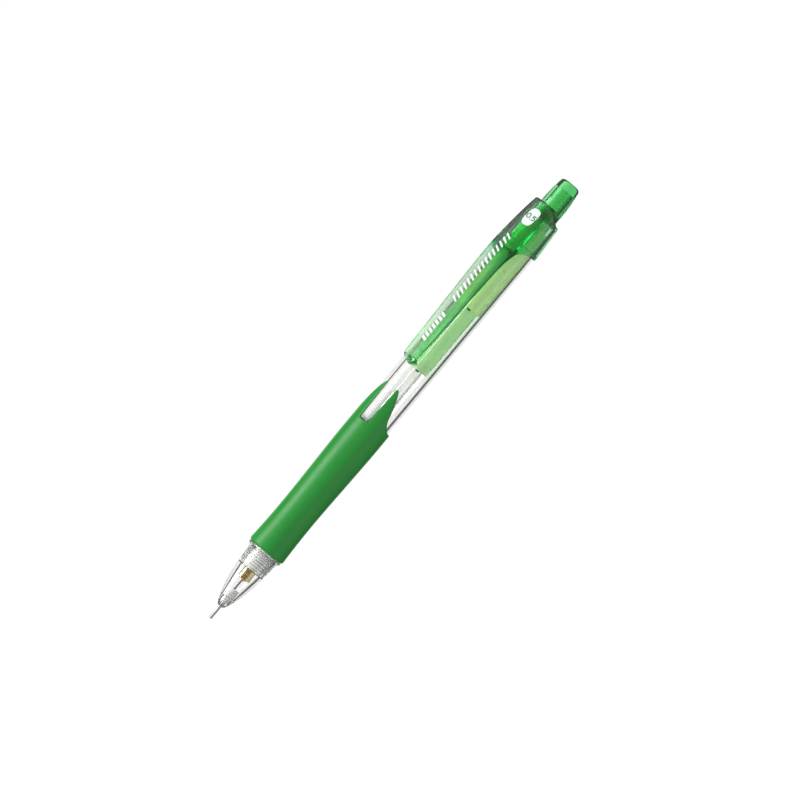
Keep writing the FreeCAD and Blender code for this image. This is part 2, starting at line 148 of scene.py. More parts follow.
def eased(outline, radius, closed=True):
    """The outline with each sharp corner turned into a small arc."""
    points = [np.array(p, float) for p in outline]
    count = len(points)
    out = []
    for i, corner in enumerate(points):
        if not closed and i in (0, count - 1):
            out.append(tuple(corner))
            continue
        before, after = points[i - 1], points[(i + 1) % count]
        a, b = before - corner, after - corner
        la, lb = np.hypot(*a), np.hypot(*b)
        turn = math.pi - math.acos(np.clip(a @ b / (la * lb), -1, 1))
        if turn < math.radians(20):
            out.append(tuple(corner))
            continue
        cut = min(radius * math.tan(turn / 2), 0.45 * la, 0.45 * lb)
        first, last = corner + a / la * cut, corner + b / lb * cut
        for t in np.linspace(0, 1, 5):
            out.append(tuple((1 - t) ** 2 * first + 2 * t * (1 - t) * corner + t * t * last))
    return out


def braced(outline, closed=True, reach=0.1):
    """The outline with extra points just inside each long run, so shading stays flat there."""
    count = len(outline)
    out = []
    for i, point in enumerate(outline):
        out.append(point)
        if i == count - 1 and not closed:
            break
        a, b = point, outline[(i + 1) % count]
        span_x = b[0] - a[0]
        rise = b[1] - a[1]
        length = math.hypot(span_x, np.max(np.abs(rise)))
        if length > 5 * reach:
            for t in (reach / length, 1 - reach / length):
                out.append((a[0] + span_x * t, a[1] + rise * t))
    return out


def both_sides(angle):
    """Angles down one side of the pencil, followed by their mirror images back up."""
    return np.concatenate([angle, 2 * math.pi - angle[-2:0:-1]])


def edge_fall(distance, radius):
    """How far a rounded edge has fallen at a distance from its end."""
    return radius - np.sqrt(radius ** 2 - np.clip(radius - distance, 0, radius) ** 2)


def skin_faces(rings, around, closed):
    """Quads between neighbouring rings of points, each ring a closed loop."""
    faces = []
    last = rings if closed else rings - 1
    for i in range(last):
        j = (i + 1) % rings
        for k in range(around):
            m = (k + 1) % around
            faces.append((i * around + k, i * around + m, j * around + m, j * around + k))
    return faces


def end_faces(rings, around):
    """One face over the first ring and one over the last."""
    last = (rings - 1) * around
    return [tuple(range(around)), tuple(last + k for k in reversed(range(around)))]


def ring_points(x, radius, angle):
    """Points at a station, a radius and an angle from the clip's plane."""
    x, radius, angle = np.broadcast_arrays(x, radius, angle)
    return np.stack([x, radius * np.sin(angle), radius * np.cos(angle)], axis=-1)


def turned(name, node, body, outline, ease=0.06, closed=True, around=TURN):
    """A turned piece in a node's place. A closed outline is a tube; an open one starts and
    ends on the axis."""
    outline = braced(eased(outline, ease, closed), closed)
    angle = np.linspace(0, 2 * math.pi, around, endpoint=False)
    points = np.concatenate([ring_points(x, max(r, 0.0), angle) for x, r in outline])
    piece = new_piece(name, points, skin_faces(len(outline), around, closed), body)
    return stand_in(piece, node)


def pipe(front, back, inner, outer):
    """The outline of a plain tube."""
    return [(front, inner), (front, outer), (back, outer), (back, inner)]


def fair_max(a, b, ease):
    """The larger of two fields, with the crease between them rounded over ease."""
    near = np.clip(ease - np.abs(a - b), 0, None) / ease
    return np.maximum(a, b) + near * near * ease / 4


def fair_min(a, b, ease):
    return -fair_max(-a, -b, ease)


def smoothstep(t):
    t = np.clip(t, 0, 1)
    return t * t * (3 - 2 * t)


def thread_rings(start, end, base, height, angle):
    """Rings from start to end that carry a one-start thread, which fades in and out."""
    step = THREAD_PITCH / 9
    if end < start:
        step = -step
    low, high = min(start, end), max(start, end)
    rings = []
    for x in np.arange(start, end, step):
        phase = ((x - low) / THREAD_PITCH - angle / (2 * math.pi)) % 1.0
        crest = np.clip(1.35 - np.abs(phase - 0.5) * 3.6, 0, 1)
        share = crest * smoothstep((x - low) / 0.5) * smoothstep((high - x) / 0.4)
        rings.append((x, base + height * share))
    return rings


CORNERS = [(i, j, k) for i in (0, 1) for j in (0, 1) for k in (0, 1)]


def net_mesh(field, low, high, cell):
    """Points and quads of the surface where a field is zero; inside is negative.
    One point goes in each cell that the surface crosses, then all are drawn onto it."""
    axes = [np.arange(a, b + cell, cell) for a, b in zip(low, high)]
    value = field(*np.meshgrid(*axes, indexing="ij"))
    shape = [len(a) - 1 for a in axes]

    def corner(c):
        return value[tuple(slice(at, at + size) for at, size in zip(c, shape))]

    held = np.stack([corner(c) < 0 for c in CORNERS])
    crossed = held.any(0) & ~held.all(0)
    index = -np.ones(shape, int)
    index[crossed] = np.arange(crossed.sum())
    total = np.zeros((crossed.sum(), 3))
    count = np.zeros(crossed.sum())
    for a in CORNERS:
        for axis in range(3):
            if a[axis]:
                continue
            b = tuple(c + (d == axis) for d, c in enumerate(a))
            va, vb = corner(a)[crossed], corner(b)[crossed]
            cuts = (va < 0) != (vb < 0)
            share = np.where(cuts, va / np.where(cuts, va - vb, 1), 0)
            point = np.array(a, float) + share[:, None] * np.eye(3)[axis]
            total += point * cuts[:, None]
            count += cuts
    base = np.argwhere(crossed)
    points = (base + total / count[:, None]) * cell + np.array([a[0] for a in axes])
    faces = []
    for axis in range(3):
        u, v = np.delete(np.eye(3, dtype=int), axis, 0)
        edges = np.argwhere(np.diff(value < 0, axis=axis))
        edges = edges[((edges >= u + v) & (edges < shape)).all(1)]
        cells = [index[tuple((edges - back).T)] for back in (u + v, v, 0 * u, u)]
        faces.append(np.stack(cells, 1))
    faces = np.concatenate(faces)
    faces = faces[(faces >= 0).all(1)]
    step = cell * 0.05
    for _ in range(4):
        slope = np.stack([field(*(points + shift).T) - field(*(points - shift).T)
                          for shift in np.eye(3) * step], 1) / (2 * step)
        steepness = np.maximum((slope ** 2).sum(1), 0.05)
        move = -(field(*points.T) / steepness)[:, None] * slope
        far = np.linalg.norm(move, axis=1, keepdims=True)
        points = points + move * np.minimum(1, cell * 0.4 / np.maximum(far, 1e-9))
    return points, faces.tolist()


# ---- cap and clip

def arm_half_width(x):
    """Half the clip's width, which grows a little towards its root."""
    return np.clip(2.35 + 0.031 * (x - CAP_START - 2), 2.2, 3.45)


def arm_height(x, y):
    """Height of the clip's outer face: flat along the arm, then falling to the rear rim."""
    fall = 3.7 * np.clip((x - ARM_ROOT + 2) / 25.5, 0, 1.2) ** 2.2
    crown = 0.3
    return CAP_TOP - crown - fall + crown * (1 - (y / arm_half_width(x)) ** 2)


def cap_field(x, y, z):
    """Below nought inside the collar and clip, one moulding: an envelope, less the space
    under the arm, the socket for the barrel and the knob's hole."""
    arm_under = CAP_TOP - 1.2
    nose_reach = 2.67
    nose_middle = CAP_START + nose_reach
    r = np.hypot(y, z)
    collar = r - 5.5 + 0.5 * np.clip((x - COLLAR_FRONT) / 9, 0, 2) ** 1.3
    side = np.abs(y) - arm_half_width(x)
    nose = np.where(x < nose_middle, np.hypot(x - nose_middle, y) - nose_reach, -9.0)
    over = fair_max(fair_max(side, z - arm_height(x, y), 0.5), nose, 0.35)
    body = fair_min(collar, np.maximum(over, -z), 0.7)
    # the space in front of the collar and under the arm, a superellipse's quarter
    along = np.clip(x - ARM_ROOT, 0, None) / (COLLAR_FRONT - ARM_ROOT)
    above = np.clip(z, 0, None) / arm_under
    under = (1 - (along ** 2.4 + above ** 2.4) ** (1 / 2.4)) * 8
    body = fair_max(body, under, 0.35)
    # foot at the arm's tip, leaning forward towards the barrel
    lean = (arm_under - z) * 0.42
    foot_side = np.hypot(x - (nose_middle - lean), y * 1.15) - nose_reach
    foot_back = x - (CAP_START + 1.4 - lean)
    foot = fair_max(fair_max(foot_side, foot_back, 0.3), 5.65 - z, 0.4)
    foot = np.maximum(foot, z - CAP_TOP + 0.9)
    body = fair_min(body, foot, 0.25)
    rim = x - (CAP_END - 3.0 + 3.0 * smoothstep(z / 4.8))
    body = fair_max(body, rim, 0.6)
    lip = np.maximum(r - 4.94, x - (COLLAR_FRONT + 0.95))
    socket = np.maximum(r - 4.27, x - (span("barrel")[1] + 0.1))
    knob_hole = r - (span("push_knob")[2] + 0.1)
    return fair_max(body, -np.minimum(np.minimum(lip, socket), knob_hole), 0.12)


def build_cap():
    low = (CAP_START - 1.6, -6, -6)
    high = (CAP_END + 0.8, 6, CAP_TOP + 0.6)
    points, faces = net_mesh(cap_field, low, high, 0.2)
    piece = new_piece("cap_and_clip", points, faces, BARREL_BODY)
    return stand_in(piece, "cap_clip")


# ---- turned pieces

def build_cone():
    """Clear nose cone, threaded inside where it screws onto the barrel."""
    front, back, lip = span("tip_cone")
    chin, waist, shoulder = front + 4, back - 5.9, back - 2.0
    socket, groove = 3.47, 0.12
    outline = [(front, 0.5), (front, 0.85), (front + 1, 1.5), (chin, 2.5)]
    outline += arc((chin, 2.5), (waist, 4.0), 0.23)
    outline += arc((waist, 4.0), (shoulder, 4.3), 0.06, 4)
    outline += arc((shoulder, 4.3), (back - 0.4, lip), -0.2, 6)
    outline += [(back, lip), (back, socket), (back - 0.5, socket), (waist + 0.5, socket),
                (waist, socket), (waist - 0.12, 2.97), (front + 3.22, 1.7), (front + 3.22, 1.22),
                (front + 1.4, 1.22), (front + 1.4, 0.5)]
    rings = braced(eased(outline, 0.12))
    angle = np.linspace(0, 2 * math.pi, TURN, endpoint=False)
    thread_front, thread_back = waist + 0.7, back - 0.7
    cut = next(i for i, (x, r) in enumerate(rings) if abs(r - socket) < 1e-6 and x < thread_back)
    rings[cut:cut] = thread_rings(thread_back, thread_front, socket, groove, angle)
    points = np.concatenate([ring_points(x, r, angle) for x, r in rings])
    piece = new_piece("cone_shell", points, skin_faces(len(rings), TURN, True), "cone")
    return stand_in(piece, "tip_cone")


def build_sleeve():
    front, back, shank = span("lead_sleeve")
    step = front + 3.95
    outline = [(front, 0.33), (front, 0.38), (front + 0.1, 0.43), (step, 0.43),
               (step, shank), (back, shank), (back, 0.33)]
    return turned("steel_sleeve", "lead_sleeve", "slider", outline, 0.03, around=48)


def build_slider():
    front, back, cup = span("sleeve_slider")
    seat, floor = back - 3.5, back - 2.4
    outline = [(front, 0.47), (front, 1.12), (front + 1.8, 1.12), (front + 1.8, cup), (back, cup),
               (back, cup - 0.18), (floor, cup - 0.18), (floor, 0.81), (seat, 0.81), (seat, 0.47)]
    return turned("slider_cup", "sleeve_slider", "slider", outline, 0.05)


def build_retainer():
    front, back, outer = span("lead_retainer")
    outline = pipe(front + 0.02, back, 0.3, outer - 0.02)
    return turned("lead_pad", "lead_retainer", "slider", outline, around=48)


def build_lead():
    front, back, outer = span("writing_lead")
    outline = [(front, 0), (front, outer * 0.8), (front + 0.08, outer), (back, outer), (back, 0)]
    return turned("lead_in_use", "writing_lead", "lead", outline, 0.02, False, 32)


def build_ring():
    front, back, outer = span("clutch_ring")
    outline = [(front, 1.38), (front, outer), (back, outer), (back, 1.08)]
    groove = (front + back) / 2
    outline[2:2] = [(groove - 0.15, outer), (groove, outer - 0.12), (groove + 0.15, outer)]
    return turned("jaw_ring", "clutch_ring", "ring", outline, 0.18)


def build_seat():
    front, back, flange = span("clutch_seat")
    outer, rest = 2.55, front + 7.8
    outline = [(front, 1.3), (front, outer), (rest, outer), (rest, flange), (rest + 1.55, flange),
               (rest + 1.55, outer), (back, outer), (back, 2.0), (front + 1.35, 2.0),
               (front + 1.35, 1.3)]
    return turned("seat_sleeve", "clutch_seat", BARREL_BODY, outline, 0.08)


def build_tube():
    front, back, outer = span("lead_tube")
    outline = pipe(front, back, 1.3, outer)
    return turned("feed_tube", "lead_tube", "feed", outline)


def build_tank():
    front, back, outer = span("lead_tank")
    tube = span("lead_tube")
    outline = [(front, tube[2] + 0.03), (front, outer), (back, outer), (back, 2.45),
               (front + 1.8, 2.45), (tube[1], tube[2] + 0.03)]
    return turned("tank_tube", "lead_tank", "feed", outline, 0.25)


def build_bush():
    front, back, outer = span("guide_bush")
    # a hair thinner than the bore it fills, so that the two walls never cross
    outline = pipe(front, back, 3.15, outer - 0.07)
    return turned("bush_tube", "guide_bush", BARREL_BODY, outline, 0.2)


def build_knob():
    front, back, outer = span("push_knob")
    taper, brow, socket, cavity = front + 5.8, back - 1.0, front + 3.1, back - 2.6
    outline = [(cavity, 0), (cavity, 2.15), (socket, 2.15), (socket, 3.09), (front, 3.09), (front, outer)]
    outline += [(taper, outer)] + arc((taper, outer), (brow, 2.95), 0.06, 6)
    outline += arc((brow, 2.95), (back, 1.95), 0.29, 8) + [(back, 0)]
    return turned("knob_cap", "push_knob", "knob", outline, 0.12, False)


def build_holder():
    front, back, outer = span("eraser_holder")
    rubber = span("eraser")
    outline = [(front, 0), (front, outer), (back, outer), (back, rubber[2] + 0.03),
               (rubber[0] - 0.03, rubber[2] + 0.03), (rubber[0] - 0.03, 0)]
    return turned("eraser_cup", "eraser_holder", "feed", outline, 0.1, False)


def build_eraser():
    front, back, outer = span("eraser")
    outline = pipe(front, back, 0, outer)
    return turned("eraser_plug", "eraser", "feed", outline, 0.35, False)


# ---- barrel

def build_barrel():
    """Threaded nose, grip seat and wide rear with the raised rib, then the bores."""
    front, back, _ = span("barrel")
    grip_front, _, _ = span("grip")
    bush_back = span("guide_bush")[1]
    step = grip_front + 43.6
    rib_front, rib_full, rib_back = step - 0.95, step + 11, COLLAR_FRONT - 0.8
    spigot = COLLAR_FRONT + 0.6
    thread_front, thread_back, ridge, root = front + 0.5, grip_front - 0.5, 0.27, 3.15
    wall_radius, spigot_radius, bore, nose_bore = 4.9, 4.23, 3.85, 2.6
    rib_edge, calm = 1.7 / RIB_RADIUS, 1.3
    half_turn = np.concatenate([
        np.linspace(0, rib_edge - 0.035, 14, endpoint=False),
        np.linspace(rib_edge - 0.035, rib_edge + 0.035, 13),
        np.linspace(rib_edge + 0.035, math.pi, 104)[1:]])
    angle = both_sides(half_turn)
    swing = np.minimum(angle, 2 * math.pi - angle)
    count = len(angle)
    rise = smoothstep((rib_edge + 0.03 - swing) / 0.06)

    def fanned(x):
        """The columns' angles at a station, drawn in or out to follow the rib's edge."""
        nose = max(0.45 - max(x - rib_front, 0), 0) / 0.45
        half = 1.35 + 0.35 * min(max((x - rib_front) / (rib_full - rib_front), 0), 1)
        edge = (half - 0.45 * (1 - math.sqrt(1 - nose ** 2))) / RIB_RADIUS
        moved = np.interp(swing, [0, rib_edge, calm, math.pi], [0, edge, calm, math.pi])
        return np.where(angle > math.pi, 2 * math.pi - moved, moved)

    def ribbed(x, base):
        """The rib on top of a base radius, rounded up at its front end."""
        height = smoothstep((x - rib_front + 0.03) / 0.15)
        return base + (RIB_RADIUS - base) * rise * height

    rings = [(front, nose_bore), (front, root - 0.12), (front + 0.12, root)]
    rings += thread_rings(thread_front, thread_back, root, ridge, angle)
    rings += [(thread_back, root), (grip_front, root), (grip_front, SEAT_RADIUS)]
    for past in (-0.03, 0, 0.04, 0.08, 0.12, 0.2, 0.3, 0.45, 0.7):
        rings.append((rib_front + past, ribbed(rib_front + past, SEAT_RADIUS)))
    rings.append((step - 0.01, ribbed(step - 0.01, SEAT_RADIUS)))
    rings += [(x, ribbed(x, wall_radius)) for x in np.linspace(step, rib_full, 24)]
    rings += [(x, ribbed(x, wall_radius)) for x in np.linspace(rib_full + 2, rib_back, 12)]
    rings += [(rib_back + 0.02, wall_radius), (spigot - 0.08, wall_radius),
              (spigot, wall_radius - 0.08), (spigot, spigot_radius), (back - 0.1, spigot_radius),
              (back, spigot_radius - 0.1), (back, bore + 0.08), (back - 0.08, bore)]
    rings += [(bush_back, bore), (grip_front + 1.55, bore), (grip_front + 1.55, nose_bore)]
    rings = braced(rings)
    points = np.concatenate([
        ring_points(x, r, fanned(x) if np.ndim(r) and x > grip_front else angle)
        for x, r in rings])
    piece = new_piece("clear_barrel", points, skin_faces(len(rings), count, True), BARREL_BODY)
    return stand_in(piece, "barrel")


# ---- grip

def grip_edge(step, tip, radius):
    """The grip's rear edge unrolled, one side: round the slot for the rib, out to the
    prong's tip, back along its side and round the bottom. Columns are x and arc length."""
    slot_front, slot_rear = 1.42, 1.8
    knee_x, knee_z, low_z, tip_z = step + 4, 3.15, -1.1, 4.95
    path = [(step - 1.0, 0.0), (step - 1.0, slot_front - 0.5), (step - 0.85, slot_front - 0.15),
            (step - 0.5, slot_front)]
    path += [(tip - 0.25, slot_rear), (tip, slot_rear + 0.2)]
    slope = (tip_z - knee_z) / (tip - knee_x)
    flank = [(x, tip_z + (x - tip) * slope) for x in np.linspace(tip - 0.2, knee_x, 12)]
    flank += arc((knee_x, knee_z), (step, low_z), -1.16, 14)
    path += [(x, radius * math.acos(z / radius)) for x, z in flank]
    path = np.array(path + [(step, radius * math.pi)])
    run = np.concatenate([[0], np.cumsum(np.hypot(*np.diff(path, axis=0).T))])
    even = np.linspace(0, run[-1], int(run[-1] / 0.14))
    path = np.stack([np.interp(even, run, path[:, 0]), np.interp(even, run, path[:, 1])], 1)
    for _ in range(3):
        path[1:-1] = (path[:-2] + 2 * path[1:-1] + path[2:]) / 4
    return path


def build_grip():
    """Waisted rubber sleeve with two prongs, worked out unrolled and then wrapped."""
    front, tip, crown_radius = span("grip")
    step = front + 43.55
    waist, crown = front + 12.5, front + 39.5
    wall_radius, brow, rounding = 4.92, 0.75, 0.4
    unrolled = 5.5             # the radius at which angles are laid out flat

    def outer(x):
        """Rounded brow, hollow waist, then a long swell to the crown."""
        to_waist = 5.45 - 0.35 * (1 - (1 - np.clip((x - front) / (waist - front), 0, 1)) ** 2)
        rise = smoothstep((x - waist) / (crown - waist))
        to_crown = 5.1 + (crown_radius - 5.1) * rise
        after = crown_radius - 0.08 * np.clip((x - crown) / (tip - crown), 0, 1)
        return np.where(x < waist, to_waist, np.where(x < crown, to_crown, after))

    step_radius = outer(np.array(step)).item()
    edge = grip_edge(step, tip, step_radius)
    side = edge[:, 1] / step_radius
    edge_x = np.concatenate([edge[:, 0], edge[-2:0:-1, 0]])
    edge_angle = both_sides(side)
    count = len(edge_x)
    half = len(edge)
    # angles where the columns start, spread so that none cross on their way to the edge
    spread = np.linspace(0, 1, half)
    tip_at = np.argmax(edge[:, 0]) / (half - 1)
    start_half = np.interp(spread, [0, tip_at, 1], [0, math.radians(27), math.pi])
    start_half = 0.35 * start_half + 0.65 * np.maximum.accumulate(side)
    start = both_sides(start_half)
    fan = front + 33
    rows = []
    brow_steps = [front + d for d in (0.0, 0.03, 0.1, 0.2, 0.35, 0.55, 0.8, 1.2)]
    for x in brow_steps + list(np.linspace(front + 2, fan, 22)):
        rows.append((np.full(count, x), start))
    reach = np.hypot(edge_x - fan, unrolled * (edge_angle - start))
    gaps = (0.9, 0.6, 0.42, 0.3, 0.2, 0.12, 0.06, 0.02, 0.0)
    for t in [*np.linspace(0.1, 0.9, 9)] + [1 - gap / reach for gap in gaps]:
        rows.append((fan + (edge_x - fan) * t, start + (edge_angle - start) * t))
    border = np.stack([edge_x, edge_angle * unrolled], 1)
    rings = []
    for x, angle in rows:
        here = np.stack([x, angle * unrolled], 1)
        if x.max() > step - 3:
            apart = np.sqrt(((here[:, None, :] - border[None, :, :]) ** 2).sum(2)).min(1)
        else:
            apart = np.full(count, 9.0)
        fall = edge_fall(apart, rounding) + edge_fall(x - front, brow)
        rings.append(ring_points(x, outer(x) - fall, angle))
    rings.append(ring_points(edge_x, wall_radius, edge_angle))
    rings.append(ring_points(np.minimum(edge_x, step + 0.02), wall_radius, edge_angle))
    rings.append(ring_points(np.full(count, step - 1.2), SEAT_RADIUS, start))
    rings.append(ring_points(np.full(count, front), SEAT_RADIUS, start))
    points = np.concatenate(rings)
    piece = new_piece("rubber_grip", points, skin_faces(len(rings), count, True), BARREL_BODY)
    return stand_in(piece, "grip")


# ---- chuck and spring

def build_chuck():
    """Brass jaws: a turned stem with three slits sawn from the front."""
    front, back, head = span("chuck")
    jaw, neck, stem, tail = front + 0.25, front + 0.7, front + 3.2, back - 3.0
    outline = [(front, 0.3), (front, 0.6), (jaw - 0.05, 0.6), (jaw + 0.15, head - 0.1),
               (jaw + 0.25, head), (neck, head), (stem, 1.0), (stem + 6, 1.0),
               (stem + 6.1, 0.96), (stem + 6.3, 0.96), (stem + 6.4, 1.0),
               (tail, 1.0), (tail, 1.27), (back, 1.27), (back, 0.3)]
    piece = turned("brass_chuck", "chuck", "feed", outline, 0.04, around=72)
    saw = bpy.data.meshes.new("saw")
    bm = bmesh.new()
    length, width, depth = 9.2, 0.24, 2.0
    for turn in range(3):
        cut = bmesh.ops.create_cube(bm, size=1.0)["verts"]
        place = (Matrix.Rotation(math.radians(60 + 120 * turn), 4, "X")
                 @ Matrix.Translation(Vector((front - 1 + length / 2, 0, depth / 2)) * MM)
                 @ Matrix.Diagonal(Vector((length, width, depth, 1 / MM)) * MM))
        bmesh.ops.transform(bm, matrix=place, verts=cut)
    bm.to_mesh(saw)
    bm.free()
    apply_cut(piece, in_scene("saw", saw))
    return piece


def apply_cut(piece, blade):
    """Cuts the blade's solids out of the piece, then removes the blade."""
    cut = piece.modifiers.new("cut", "BOOLEAN")
    cut.object = blade
    cut.operation = "DIFFERENCE"
    cut.solver = "EXACT"
    cut.use_self = True
    depsgraph = bpy.context.evaluated_depsgraph_get()
    mesh = bpy.data.meshes.new_from_object(piece.evaluated_get(depsgraph))
    piece.modifiers.clear()
    piece.data = mesh
    bpy.data.objects.remove(blade)
    piece.data.set_sharp_from_angle(angle=math.radians(35))


def build_spring():
    """A coil with closed ends in the CAD spring's place; it rides on the barrel's body."""
    front, back, outer = span("feed_spring")
    wire = 0.18
    mean = outer - wire
    turns, closed_turns = 10, 1.1
    closed_rise = closed_turns * wire * 2.1
    start, end = front + wire, back - wire
    steps, around = 720, 12
    ring = np.linspace(0, 2 * math.pi, around, endpoint=False)
    rings = []
    for i in range(steps + 1):
        turn = turns * i / steps
        x = np.interp(turn, [0, closed_turns, turns - closed_turns, turns],
                      [start, start + closed_rise, end - closed_rise, end])
        thick = wire * (0.02 + 0.98 * smoothstep(min(i, steps - i) / 4))
        rings.append(ring_points(x + thick * np.sin(ring), mean + thick * np.cos(ring),
                                 2 * math.pi * turn))
    points = np.concatenate(rings)
    faces = skin_faces(len(rings), around, False) + end_faces(len(rings), around)
    piece = new_piece("coil_spring", points, faces, BARREL_BODY)
    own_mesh(piece)
    return stand_in(piece, "feed_spring")


# ---- prints

def draped(name, strips, surface, lift=0.004, thick=0.03, across=6):
    """Thin closed plates laid on the barrel's or the cap's surface, sunk in a little.
    A strip is a row of (left, right) points."""
    sunk = 0.03
    around = 2 * (across + 1)
    points, faces = [], []
    for strip in strips:
        first = len(points)
        for left, right in strip:
            row = [(x, y, surface(x, y) + lift) for x, y in np.linspace(left, right, across + 1)]
            points += [(x, y, z + thick) for x, y, z in row]
            points += [(x, y, z - sunk) for x, y, z in reversed(row)]
        plate = skin_faces(len(strip), around, False) + end_faces(len(strip), around)
        faces += [tuple(first + corner for corner in face) for face in plate]
    piece = new_piece(name, points, faces, BARREL_BODY)
    return piece


def slanted_bars(start, pitch, width, low, high, lean, count):
    """A row of equal slanted bars, rounded at the ends."""
    strips = []
    for i in range(count):
        left = start + i * pitch
        strip = []
        for t in np.linspace(0, 1, 9):
            y = low + (high - low) * t
            middle = left + width / 2 + lean * t
            half = width / 2 * (1 - 0.25 * abs(2 * t - 1) ** 6)
            strip.append(((middle - half, y), (middle + half, y)))
        strips.append(strip)
    return strips


def ribbon(path, width):
    """A strip of even width along a path of points."""
    path = np.array(path, float)
    along = np.gradient(path, axis=0)
    along /= np.linalg.norm(along, axis=1, keepdims=True)
    side = np.stack([-along[:, 1], along[:, 0]], 1) * width / 2
    return [(tuple(p + s), tuple(p - s)) for p, s in zip(path, side)]


def numeral_strips(x, y, size):
    """The lead size, 0.5, centred on a place and read with the pencil held tip down."""
    wide, line = 0.62 * size, 0.18 * size
    foot = -size / 2 + line / 2
    turn = np.linspace(0, 2 * math.pi, 25)
    zero = np.stack([wide / 2 * np.cos(turn), (size - line) / 2 * np.sin(turn)], 1)
    dot = [((wide * side, foot - line / 2), (wide * side, foot + line * 0.7)) for side in (0.82, 1.06)]
    five, middle = wide * 1.35, size * 0.06
    flag = [(five + wide * 0.8, -foot), (five + wide * 0.08, -foot)]
    stem = [(five + wide * 0.08, line / 2 - foot), (five, middle - line / 3)]
    turn = np.linspace(math.radians(130), math.radians(-130), 15)
    bowl = np.stack([five + wide * (0.3 + 0.48 * np.cos(turn)),
                     foot + size * 0.27 * (1 + np.sin(turn))], 1)
    strips = [ribbon(zero, line), dot, ribbon(flag, line), ribbon(stem, line), ribbon(bowl, line)]
    centre = five / 2 + wide * 0.15
    return [[tuple((x + v, y + centre - u) for u, v in pair) for pair in strip] for strip in strips]


def build_rib_marks():
    """Low bars moulded on the rib's top, in groups."""
    start = span("grip")[1] - 9.6
    width, side = 0.45, 0.6

    def surface(x, y):
        return math.sqrt(RIB_RADIUS ** 2 - y * y)

    strips = []
    for group in range(4):
        for bar in range(4):
            left = start + group * 4.3 + bar * 0.85
            strips.append([((x, -side), (x, side)) for x in (left, left + width)])
    return draped("rib_marks", strips, surface, lift=0.005, thick=0.05)


def build_nub(name, node, body, reach_in):
    """A small dark nub on a tube's front face, on the side the clip leans to."""
    front, _, outer = span(node)
    facing = math.radians(-31)
    long, wide, sink = 0.5, 1.0, 0.06
    count = 32
    turn = np.linspace(0, 2 * math.pi, count, endpoint=False)
    circle = np.stack([np.cos(turn), np.sin(turn)], 1)
    squircle = np.sign(circle) * np.abs(circle) ** 0.5 / 2
    middle = front + sink - long / 2
    rings = []
    for size, radius in ((0.01, outer - reach_in), (1.0, outer - reach_in),
                         (1.0, outer - 0.1), (0.9, outer - 0.03), (0.01, outer - 0.03)):
        x = middle + squircle[:, 0] * long * size
        angle = facing + squircle[:, 1] * wide * size / outer
        rings.append(ring_points(x, radius, angle))
    points = np.concatenate(rings)
    faces = skin_faces(len(rings), count, False) + end_faces(len(rings), count)
    piece = new_piece(name, points, faces, body)
    return piece


def build_tank_nub():
    return build_nub("tank_nub", "lead_tank", "feed", 0.55)


def build_bush_nub():
    return build_nub("bush_nub", "guide_bush", BARREL_BODY, 0.5)


def build_clip_print():
    """Plain slanted bars along the clip, a short row and a long one."""
    small = slanted_bars(CAP_START + 6.5, 1.3, 0.8, -0.65, 0.65, 0.35, 7)
    large = slanted_bars(CAP_START + 19.2, 1.42, 0.55, -0.35, 1.4, 0.8, 16)
    return draped("clip_print", small + large, arm_height)


# the badge's centre on the cap, along and across
BADGE_X, BADGE_Y = CAP_END - 5.4, -0.2


def build_badge():
    """A rounded plate on the clip's root."""
    reach, height, roundness = 2.7, 3.1, 3.2
    strip = []
    for t in np.linspace(-1, 1, 25):
        half = max(height / 2 * (1 - abs(t) ** roundness) ** (1 / roundness), 0.01)
        x = BADGE_X + reach * t
        strip.append(((x, BADGE_Y - half), (x, BADGE_Y + half)))
    return draped("badge_plate", [strip], arm_height)


def build_numeral():
    strips = numeral_strips(BADGE_X, BADGE_Y, 1.6)
    return draped("badge_numeral", strips, arm_height, lift=0.03, thick=0.02, across=2)


# ---- materials

def fill(tree, socket, value):
    """Links the socket to another one, or sets it; a colour of three is made opaque."""
    if isinstance(value, bpy.types.NodeSocket):
        tree.links.new(value, socket)
    elif socket.type == "RGBA":
        socket.default_value = (*value, 1.0)
    else:
        socket.default_value = value


def add_node(tree, kind, inputs, **settings):
    """A new shader node with its settings, and with its inputs linked or set."""
    node = tree.nodes.new("ShaderNode" + kind)
    for name, value in settings.items():
        setattr(node, name, value)
    for key, value in inputs.items():
        fill(tree, node.inputs[key], value)
    return node


